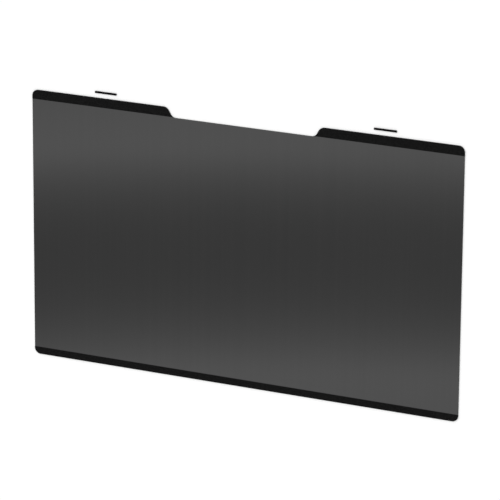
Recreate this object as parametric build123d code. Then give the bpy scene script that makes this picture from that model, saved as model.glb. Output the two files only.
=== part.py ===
from build123d import *
from math import radians, tan
import os

# Magnetic privacy filter for a 14-inch wide laptop screen, lying on its back.
# A dark film is die-cut to the size of the display, with two tabs along its top edge and a gap
# between them for the laptop's camera. Magnets lie in slots in the tabs, and black bands cover the
# front of the tabs and of the foot. Two slim steel strips, made to be stuck on the laptop's bezel,
# lie just above the tabs. X runs to the right across the screen, Y up it, and Z out of its front.
# The origin is the middle of the clear window, on the rear face that goes against the display.
# All sizes are in millimetres.

# Film, whose clear window is the lit area of the display
window_width = 309.9
window_height = 174.3
film_thickness = 0.5
corner_radius = 4.2

# Black bands on the front of the tabs and of the foot
tab_band_height = 6.4
foot_band_height = 4.9
band_thickness = 0.2

# Tabs, and the camera gap between them
tab_length = 100.0
tab_end_angle = 62.0
tab_tip_radius = 5.0
gap_root_radius = 4.5
gap_setback = 0.4

# Magnets in the tabs, and the slots that hold them
magnet_end_margin = 8.0
magnet_edge_margin = 1.2
magnet_corner_radius = 0.6
slot_clearance = 0.1

# Bezel strips, and the adhesive pads under them
strip_length = 16.0
strip_width = 1.4
strip_thickness = 0.5
strip_corner_radius = 0.4
strip_edge_radius = 0.12
strip_side_inset = 46.8
strip_gap = 3.1
pad_thickness = 0.2
pad_margin = 0.15

# Lines that the pieces share
half_width = window_width / 2
window_top = window_height / 2
window_foot = -window_height / 2
top_edge = window_top + tab_band_height
foot_edge = window_foot - foot_band_height
gap_floor = window_top - gap_setback
tab_end = half_width - tab_length
gap_root = tab_end - (top_edge - gap_floor) / tan(radians(tab_end_angle))
tab_middle = half_width - tab_length / 2
band_middle = window_top + tab_band_height / 2
strip_middle_x = half_width - strip_side_inset - strip_length / 2
strip_middle_y = top_edge + strip_gap + strip_width / 2

SIDES = {"left": -1, "right": 1}


def die_cut_outline():
    """The whole sheet's outline: round corners, two tabs and the camera gap with its soft roots."""
    corners = [
        ((-half_width, foot_edge), corner_radius),
        ((half_width, foot_edge), corner_radius),
        ((half_width, top_edge), corner_radius),
        ((tab_end, top_edge), tab_tip_radius),
        ((gap_root, gap_floor), gap_root_radius),
        ((-gap_root, gap_floor), gap_root_radius),
        ((-tab_end, top_edge), tab_tip_radius),
        ((-half_width, top_edge), corner_radius),
    ]
    points = [point for point, _ in corners]
    radii = [radius for _, radius in corners]
    return make_face(FilletPolyline(*points, radius=radii, close=True))


def magnet_outline(side, growth=0.0):
    """A magnet's round-cornered outline in its tab, or with growth the outline of its slot."""
    length = tab_length - 2 * magnet_end_margin + 2 * growth
    width = tab_band_height - 2 * magnet_edge_margin + 2 * growth
    outline = RectangleRounded(length, width, magnet_corner_radius + growth)
    return Pos(side * tab_middle, band_middle) * outline


def film_sheet():
    """The film, with a slot through each tab."""
    outline = die_cut_outline()
    for side in SIDES.values():
        outline -= magnet_outline(side, slot_clearance)
    return extrude(outline, film_thickness)


def tab_band(side):
    """The black band on one tab, cut flush with the sheet's outline."""
    zone = Pos(side * half_width / 2, band_middle) * Rectangle(half_width, tab_band_height)
    outline = die_cut_outline() & zone
    return Pos(Z=film_thickness) * extrude(outline, band_thickness)


def bottom_band():
    """The black band along the foot, cut flush with the sheet's outline."""
    foot_middle = window_foot - foot_band_height / 2
    zone = Pos(0, foot_middle) * Rectangle(window_width, foot_band_height)
    outline = die_cut_outline() & zone
    return Pos(Z=film_thickness) * extrude(outline, band_thickness)


def tab_magnet(side):
    """A flat magnet, flush with both faces of the film."""
    return extrude(magnet_outline(side), film_thickness)


def strip_outline(side, margin=0.0):
    """A bezel strip's outline where it lies, or with a margin the outline of the pad under it."""
    length = strip_length - 2 * margin
    width = strip_width - 2 * margin
    outline = RectangleRounded(length, width, strip_corner_radius - margin)
    return Pos(side * strip_middle_x, strip_middle_y) * outline


def bezel_strip(side):
    """A stamped steel strip with a softened upper rim, lying on its adhesive pad."""
    blank = extrude(strip_outline(side), strip_thickness)
    rim = blank.faces().sort_by(Axis.Z)[-1].edges()
    return Pos(Z=pad_thickness) * fillet(rim, strip_edge_radius)


def strip_adhesive(side):
    """The adhesive pad under a strip, held in a little from the strip's edge."""
    return extrude(strip_outline(side, pad_margin), pad_thickness)


nodes = {"film_sheet": film_sheet(), "bottom_band": bottom_band()}
for name, side in SIDES.items():
    nodes[f"{name}_tab_band"] = tab_band(side)
    nodes[f"{name}_tab_magnet"] = tab_magnet(side)
    nodes[f"{name}_bezel_strip"] = bezel_strip(side)
    nodes[f"{name}_strip_adhesive"] = strip_adhesive(side)

os.makedirs("parts", exist_ok=True)
for name, piece in nodes.items():
    export_step(piece, f"parts/{name}.step")
    print(name, "volume", round(piece.volume, 3), "mm3")
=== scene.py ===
# %% [markdown]
# # Dressing a laptop privacy filter
# The object is a dark film that covers a laptop's screen, so that it can be read only from straight in
# front. Black bands finish its two magnetic tabs and its foot. Two slim steel strips, which go on the
# laptop's bezel, lie just above the tabs. Every piece arrives with its true shape, size and place, and
# none of that changes here. This lesson adds what a bare shape lacks: finishes, a floor, light and a
# camera.

# %% Load the pieces
import math

import bpy
from mathutils import Matrix, Vector


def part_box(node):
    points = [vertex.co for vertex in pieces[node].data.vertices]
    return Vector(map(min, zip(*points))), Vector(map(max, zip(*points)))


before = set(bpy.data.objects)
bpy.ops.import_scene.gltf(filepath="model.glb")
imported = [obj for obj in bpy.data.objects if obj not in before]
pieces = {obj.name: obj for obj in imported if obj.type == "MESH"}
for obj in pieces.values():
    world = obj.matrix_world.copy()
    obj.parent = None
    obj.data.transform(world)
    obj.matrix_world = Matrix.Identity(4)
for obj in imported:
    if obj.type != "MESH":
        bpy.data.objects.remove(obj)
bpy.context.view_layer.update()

film_low, film_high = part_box("film_sheet")
print("pieces:", ", ".join(sorted(pieces)))
print("film, metres across and up:", [round(side, 4) for side in (film_high - film_low)[:2]])

# %% [markdown]
# ## Writing shaders as sums
# A finish is a small network of nodes. They can be wired by hand in the editor, or link by link in code,
# but then the idea is lost among Math nodes. So a Wire wraps a socket and takes part in ordinary Python
# sums: every operator adds the Math node that it stands for.

# %% Wires
class Wire:
    """One output socket of a node, which can be used in sums like a number."""

    def __init__(self, shader, socket):
        self.shader = shader
        self.socket = socket

    def maths(self, operation, first, second):
        return self.shader.add("Math", {"operation": operation}, {0: first, 1: second})

    def __add__(self, other):
        return self.maths("ADD", self, other)

    def __sub__(self, other):
        return self.maths("SUBTRACT", self, other)

    def __rsub__(self, other):
        return self.maths("SUBTRACT", other, self)

    def __mul__(self, other):
        return self.maths("MULTIPLY", self, other)

    def __truediv__(self, other):
        return self.maths("DIVIDE", self, other)

    def __pow__(self, other):
        return self.maths("POWER", self, other)

    def __gt__(self, other):
        return self.maths("GREATER_THAN", self, other)

    def __lt__(self, other):
        return self.maths("LESS_THAN", self, other)

    def at_least(self, other):
        return self.maths("MAXIMUM", self, other)

    def at_most(self, other):
        return self.maths("MINIMUM", self, other)

    def folded(self, width):
        return self.maths("PINGPONG", self, width)

    __radd__ = __add__
    __rmul__ = __mul__


methods = sorted(name for name, part in vars(Wire).items() if callable(part))
print("a wire can do:", ", ".join(methods))

# %% [markdown]
# ## One way to add any node
# All other nodes, such as noise, a mix or the shader at the end, come from one method. It sets a node up
# first, because a setting can change which sockets a node has, and then fills or links the sockets by
# name. A value that is the same all over goes straight on its socket, with no node in front of it.

# %% Node trees
class Shader:
    """The node tree of a material or a world, wired by calls."""

    def __init__(self, owner):
        owner.use_nodes = True
        self.owner = owner
        self.tree = owner.node_tree
        self.tree.nodes.clear()

    def add(self, kind, settings=None, sockets=None, output=0):
        """Adds a node, sets it up, fills or links its sockets, and returns one of its outputs."""
        node = self.tree.nodes.new("ShaderNode" + kind)
        for name, value in (settings or {}).items():
            setattr(node, name, value)
        for name, value in (sockets or {}).items():
            if isinstance(value, Wire):
                self.tree.links.new(value.socket, node.inputs[name])
            else:
                node.inputs[name].default_value = value
        return Wire(self, node.outputs[output]) if len(node.outputs) else None


trial = Shader(bpy.data.materials.new("trial"))
print("1 - x adds a", (1 - trial.add("Value")).socket.node.operation, "node")
bpy.data.materials.remove(trial.owner)

# %% [markdown]
# ## Grain and greys
# The film has fine upright louvres inside, which leave a faint upright grain, and the tape on it has a
# pebbled skin. A picture could be laid over both, but it would need a layout of its own and blur up close.
# Noise needs neither. It is read in the object's own metres, so that a grain keeps its real size, and it
# is stretched along the sheet for the louvres. Greys are mixed by a Mix node, because a Math node works
# on single numbers and not on colours.

# %% Noise and greys
def grey(value):
    """An opaque neutral colour, as linear light."""
    return (value, value, value, 1.0)


def stretched_noise(shader, across, along, detail=2.0):
    """Noise between 0 and 1 whose patches measure across by along, in metres, on the flat sheet."""
    place = shader.add("TexCoord", output="Object")
    scale = (1 / across, 1 / along, 1 / across)
    patches = shader.add("Mapping", sockets={"Vector": place, "Scale": scale})
    return shader.add("TexNoise", sockets={"Vector": patches, "Scale": 1.0, "Detail": detail})


def mixed_grey(shader, factor, low, high):
    """A colour between two greys, by a factor."""
    ends = {"Factor": factor, "A": grey(low), "B": grey(high)}
    return shader.add("Mix", {"data_type": "RGBA"}, ends, output="Result")


print("half-bright grey as a colour:", grey(0.5))

# %% [markdown]
# ## The privacy film
# The film is a laminate of a deep neutral grey with a smooth hard coat in front, and its gloss is what one
# sees most. A slow haze in the roughness keeps that gloss from being perfect. The rear is a matte,
# anti-glare face, and the cut edge is paler and dull. Three materials could do that, but one that asks
# which way a face points keeps them together, and the object's own normal gives the same answer from any
# side.

# %% Faces of the film
FACING = 0.5


def film_faces(shader):
    """Masks of the front, the rear and the cut edge, by the object's own normal."""
    normal = shader.add("TexCoord", output="Normal")
    upward = shader.add("SeparateXYZ", sockets={"Vector": normal}, output="Z")
    front = upward > FACING
    rear = upward < -FACING
    return front, rear, 1 - front - rear


print("cut edges tilt more than", round(math.degrees(math.acos(FACING))), "degrees from the sheet")

# %% Privacy film
FILM_GREY = 0.0369
CUT_EDGE_GREY = 0.06
FILM_IOR = 1.54
GLOSS_ROUGHNESS = 0.07
MATTE_ROUGHNESS = 0.42
CUT_ROUGHNESS = 0.55
LOUVRE_GRAIN = 0.003
LOUVRE_LENGTH = 0.4
LOUVRE_DEPTH = 0.2
HAZE_SIZE = 0.06
HAZE_DEPTH = 0.03
NOISE_MIDDLE = 0.5


def finished(shader, sockets):
    """Ends a material in the one shader that covers plastic, paint and rubber alike."""
    principled = shader.add("BsdfPrincipled", sockets=sockets)
    shader.add("OutputMaterial", sockets={"Surface": principled})
    return shader.owner


def privacy_film():
    """Gloss in front, matte behind, and dull along the cut edge."""
    shader = Shader(bpy.data.materials.new("privacy_film"))
    louvres = stretched_noise(shader, LOUVRE_GRAIN, LOUVRE_LENGTH)
    haze = stretched_noise(shader, HAZE_SIZE, HAZE_SIZE)
    front, rear, cut = film_faces(shader)
    pale = cut.at_least(LOUVRE_DEPTH * louvres)
    roughness = GLOSS_ROUGHNESS * front + MATTE_ROUGHNESS * rear + CUT_ROUGHNESS * cut
    return finished(shader, {
        "Base Color": mixed_grey(shader, pale, FILM_GREY, CUT_EDGE_GREY),
        "Roughness": roughness + HAZE_DEPTH * (haze - NOISE_MIDDLE),
        "IOR": FILM_IOR,
    })


film = privacy_film()
print(film.name, "has", len(film.node_tree.nodes), "nodes")
print("louvre streaks across it:", round((film_high.x - film_low.x) / LOUVRE_GRAIN))

# %% [markdown]
# ## The black bands
# The bands are black tape with a matte, slightly pebbled face. Matte black soaks up light, so the mirror
# part of its shine is turned down with the specular level, which is the same all over and is set on the
# socket. The pebbles could be modelled, but thousands of them would weigh the mesh down, so one noise
# gives the skin: as a fine bump, in the roughness and in the grey. Noise stays close to its middle value,
# so its contrast is raised before it mottles the grey.

# %% Black tape
PEBBLE_HEIGHT = 0.00001
PEBBLE_STRENGTH = 0.5
PEBBLE_DETAIL = 3.0
PEBBLE_TINT = 0.6
PEBBLE_CONTRAST = 2.5
PEBBLE_ROUGHNESS = 0.1


def matte_black(name, base, roughness, specular, pebble_size):
    """A dark dull skin: a base grey, how rough, how much mirror shine, and the size of its pebbles."""
    shader = Shader(bpy.data.materials.new(name))
    pebbles = stretched_noise(shader, pebble_size, pebble_size, PEBBLE_DETAIL)
    speckle = NOISE_MIDDLE + PEBBLE_CONTRAST * (pebbles - NOISE_MIDDLE)
    relief = {"Strength": PEBBLE_STRENGTH, "Distance": PEBBLE_HEIGHT, "Height": pebbles}
    return finished(shader, {
        "Base Color": mixed_grey(shader, speckle, base * (1 - PEBBLE_TINT), base * (1 + PEBBLE_TINT)),
        "Roughness": roughness + PEBBLE_ROUGHNESS * (pebbles - NOISE_MIDDLE),
        "Specular IOR Level": specular,
        "Normal": shader.add("Bump", sockets=relief),
    })


tape = matte_black("black_tape", base=0.0056, roughness=0.55, specular=0.07, pebble_size=0.0009)
print(tape.name, "has", len(tape.node_tree.nodes), "nodes")

# %% [markdown]
# ## The small pieces
# The loose strips are steel under a black coat, darker and smoother than the tape. The magnets in the
# tabs are bonded powder, a dull black with a coarse grain, and the adhesive pads are black foam. Each
# could have a recipe of its own, but they share the tape's with other numbers, because what sets them
# apart is how dark, how rough and how coarse they are. Each piece then gets the finish that the end of
# its name asks for.

# %% Strips, magnets and pads
coated_steel = matte_black("black_steel", base=0.0006, roughness=0.35, specular=0.05, pebble_size=0.002)
magnet = matte_black("flexible_magnet", base=0.012, roughness=0.7, specular=0.3, pebble_size=0.0015)
foam = matte_black("black_foam", base=0.02, roughness=0.85, specular=0.3, pebble_size=0.0009)
finishes = {
    "film_sheet": film,
    "band": tape,
    "bezel_strip": coated_steel,
    "tab_magnet": magnet,
    "strip_adhesive": foam,
}
for name, piece in pieces.items():
    ending = next(ending for ending in finishes if name.endswith(ending))
    piece.data.materials.clear()
    piece.data.materials.append(finishes[ending])
    print(name, "gets", finishes[ending].name)

# %% [markdown]
# ## The camera
# The photograph looks down on the sheet from above its right-hand top corner with a long lens, which
# keeps its edges nearly parallel. A camera can be placed by hand or by a constraint. Here three angles
# give its axes, and a distance along the backward axis gives its place. Worked out in this way, the line
# of sight is known to the code, and the vault below needs it again.

# %% Camera
VIEW_AZIMUTH = math.radians(126.906)
VIEW_ELEVATION = math.radians(59.858)
VIEW_ROLL = math.radians(0.453)
VIEW_DISTANCE = 2.4585
VIEW_TARGET = Vector((0.00541, 0.00369, 0.0))
LENS_MM = 270.0
SENSOR_MM = 36.0


def axes_looking_from(azimuth, elevation, roll):
    """Right, up and backward directions of a camera that keeps the sheet's own height upright."""
    level = math.cos(elevation)
    back = Vector((math.sin(azimuth) * level, -math.cos(azimuth) * level, math.sin(elevation)))
    sheet_up = Vector((0, 1, 0))
    up = (sheet_up - back * sheet_up.dot(back)).normalized()
    up.rotate(Matrix.Rotation(roll, 3, back))
    return Matrix((up.cross(back), up, back)).transposed()


view_axes = axes_looking_from(VIEW_AZIMUTH, VIEW_ELEVATION, VIEW_ROLL)
view_back = view_axes.col[2]
camera_place = VIEW_TARGET + view_back * VIEW_DISTANCE
camera_data = bpy.data.cameras.new("camera")
camera_data.lens = LENS_MM
camera_data.sensor_width = SENSOR_MM
camera = bpy.data.objects.new("camera", camera_data)
camera.matrix_world = Matrix.Translation(camera_place) @ view_axes.to_4x4()
bpy.context.scene.collection.objects.link(camera)
bpy.context.scene.camera = camera
print("camera stands at", [round(x, 3) for x in camera_place], "metres")

# %% [markdown]
# ## The floor
# The filter lies on a white table, which is set a hair below it, because two faces in one place flicker. A
# floor that is only painted white renders a little grey, and more light would bleach the object, so the
# paint gets a faint glow of its own. The glow reads the light path: the camera and reflections meet it,
# but it lights nothing, and the object's shadow stays.

# %% White table
FLOOR_SIDE = 20.0
FLOOR_GAP = 0.00002
FLOOR_PAINT = 0.9
FLOOR_GLOW = 0.12


def studio_panel(name, corners, faces):
    """A sheet of the studio, made of its corners and faces, which isn't a part of the object."""
    mesh = bpy.data.meshes.new(name)
    mesh.from_pydata(corners, [], faces)
    panel = bpy.data.objects.new(name, mesh)
    bpy.context.scene.collection.objects.link(panel)
    return panel


def seen_directly(shader):
    """1 for rays from the camera, a mirror or a glass, and 0 for the rays that light a surface."""
    camera_ray = shader.add("LightPath", output="Is Camera Ray")
    mirror_ray = shader.add("LightPath", output="Is Glossy Ray")
    glass_ray = shader.add("LightPath", output="Is Transmission Ray")
    return camera_ray.at_least(mirror_ray).at_least(glass_ray)


def white_table():
    """White paint with a glow that only direct looks and reflections meet."""
    shader = Shader(bpy.data.materials.new("white_table"))
    paint = shader.add("BsdfDiffuse", sockets={"Color": grey(FLOOR_PAINT)})
    strength = FLOOR_GLOW * seen_directly(shader)
    glow = shader.add("Emission", sockets={"Color": grey(1.0), "Strength": strength})
    both = shader.add("AddShader", sockets={0: paint, 1: glow})
    shader.add("OutputMaterial", sockets={"Surface": both})
    return shader.owner


half = FLOOR_SIDE / 2
floor_corners = [(-half, -half, 0), (half, -half, 0), (half, half, 0), (-half, half, 0)]
floor = studio_panel("table", floor_corners, [(0, 1, 2, 3)])
floor.location.z = film_low.z - FLOOR_GAP
floor.data.materials.append(white_table())
print("floor shows as", FLOOR_PAINT + FLOOR_GLOW, "where nothing shades it")

# %% [markdown]
# ## Daylight
# A bright, even sky lights the filter from all sides, and a very broad sun gives that light a soft
# direction. The sky lends the sun a fifth of its light, so that together they make a plain level, at which
# a colour renders as it is written, and yet the sky itself shows as pure white. Mirror rays don't meet the
# sun, which would leave a pale disc in the gloss. A lamp would do as well as the sun, but its light fades
# with distance and greys the far side of the table.

# %% Sky and sun
SUN_SHARE = 0.2
SUN_BREADTH = math.radians(70)
SUN_FROM = Vector((-0.5, 0.6, 0.8)).normalized()

world = bpy.data.worlds.new("white_studio")
bpy.context.scene.world = world
sky = Shader(world)
sky_strength = (1 - SUN_SHARE) + SUN_SHARE * seen_directly(sky)
sky_light = sky.add("Background", sockets={"Color": grey(1.0), "Strength": sky_strength})
sky.add("OutputWorld", sockets={"Surface": sky_light})

sun_data = bpy.data.lights.new("broad_sun", "SUN")
sun_data.angle = SUN_BREADTH
sun_data.energy = SUN_SHARE * math.pi / SUN_FROM.z
sun = bpy.data.objects.new("broad_sun", sun_data)
sun.rotation_euler = SUN_FROM.to_track_quat("Z", "Y").to_euler()
sun.visible_glossy = False
bpy.context.scene.collection.objects.link(sun)
print("sun strength", round(sun_data.energy, 3), "watts per square metre")

# %% [markdown]
# ## The dark band in the gloss
# A glossy sheet shows what hangs above it. In the photograph that is a dark band that fades into two
# bright ones. A gradient painted on the film would stay put when the camera moves, so a half-round vault
# of gauze arches over the table and the film mirrors it. Black hoops cross the vault. Each is dense along
# its middle and clears at a reach to both sides, sooner towards the top of the picture than towards its
# foot, and a grey hoop lies between two black ones. The pattern is one fade that is folded back on
# itself, so it goes on all along the vault without an edge.

# %% Hooped gauze
REACH_UP = 0.1133
REACH_DOWN = 0.141
FADE_POWER = 2.6
GREY_DENSITY = 0.42
REACHES_BETWEEN_HOOPS = 2


def hooped_gauze():
    """Black cloth whose density follows the hoops, mixed with nothing at all."""
    shader = Shader(bpy.data.materials.new("hooped_gauze"))
    place = shader.add("TexCoord", output="Object")
    along = shader.add("SeparateXYZ", sockets={"Vector": place}, output="Y")
    reach = (along / REACH_UP).at_least(along / -REACH_DOWN).folded(REACHES_BETWEEN_HOOPS)
    black_hoops = 1 - reach.at_most(1.0) ** FADE_POWER
    grey_hoops = GREY_DENSITY * (reach - 1).at_least(0.0)
    clear = shader.add("BsdfTransparent")
    cloth = shader.add("BsdfDiffuse", sockets={"Color": grey(0.0)})
    both = shader.add("MixShader", sockets={0: black_hoops + grey_hoops, 1: clear, 2: cloth})
    shader.add("OutputMaterial", sockets={"Surface": both})
    return shader.owner


print("black and grey hoops lie", REACHES_BETWEEN_HOOPS * REACH_UP, "metres apart or more")

# %% [markdown]
# ## Arching the vault
# The vault runs along the sheet's own height, so that its hoops show level in the picture. Its place
# could be found by trial, but a mirror keeps a simple rule: flip the line of sight in its face. The film
# lies flat, so the line goes on from it with its height turned over, and where it meets the vault one
# black hoop is hung. From other sides the film mirrors other hoops. Only mirror rays meet them, so they
# take no light away.

# %% Vault over the table
VAULT_RADIUS = 1.6
VAULT_LENGTH = 40.0
VAULT_PANELS = 64


def half_round_vault(name, radius, length, panels):
    """A half-round roof along Y, made of long flat panels side by side."""
    corners = []
    for step in range(panels + 1):
        turn = math.pi * step / panels
        x, z = radius * math.cos(turn), radius * math.sin(turn)
        corners += [(x, -length / 2, z), (x, length / 2, z)]
    faces = [(2 * i, 2 * i + 1, 2 * i + 3, 2 * i + 2) for i in range(panels)]
    return studio_panel(name, corners, faces)


film_to_vault = VAULT_RADIUS / math.hypot(view_back.x, view_back.z)
vault = half_round_vault("gauze_vault", VAULT_RADIUS, VAULT_LENGTH, VAULT_PANELS)
vault.location.y = VIEW_TARGET.y - view_back.y * film_to_vault
vault.data.materials.append(hooped_gauze())
vault.visible_camera = False
vault.visible_diffuse = False
vault.visible_shadow = False
print("the black hoop in the picture hangs at y =", round(vault.location.y, 3), "metres")

# %% [markdown]
# ## Closing the lesson
# The picture keeps plain display colours.

# %% Display colours
bpy.context.scene.view_settings.view_transform = "Standard"
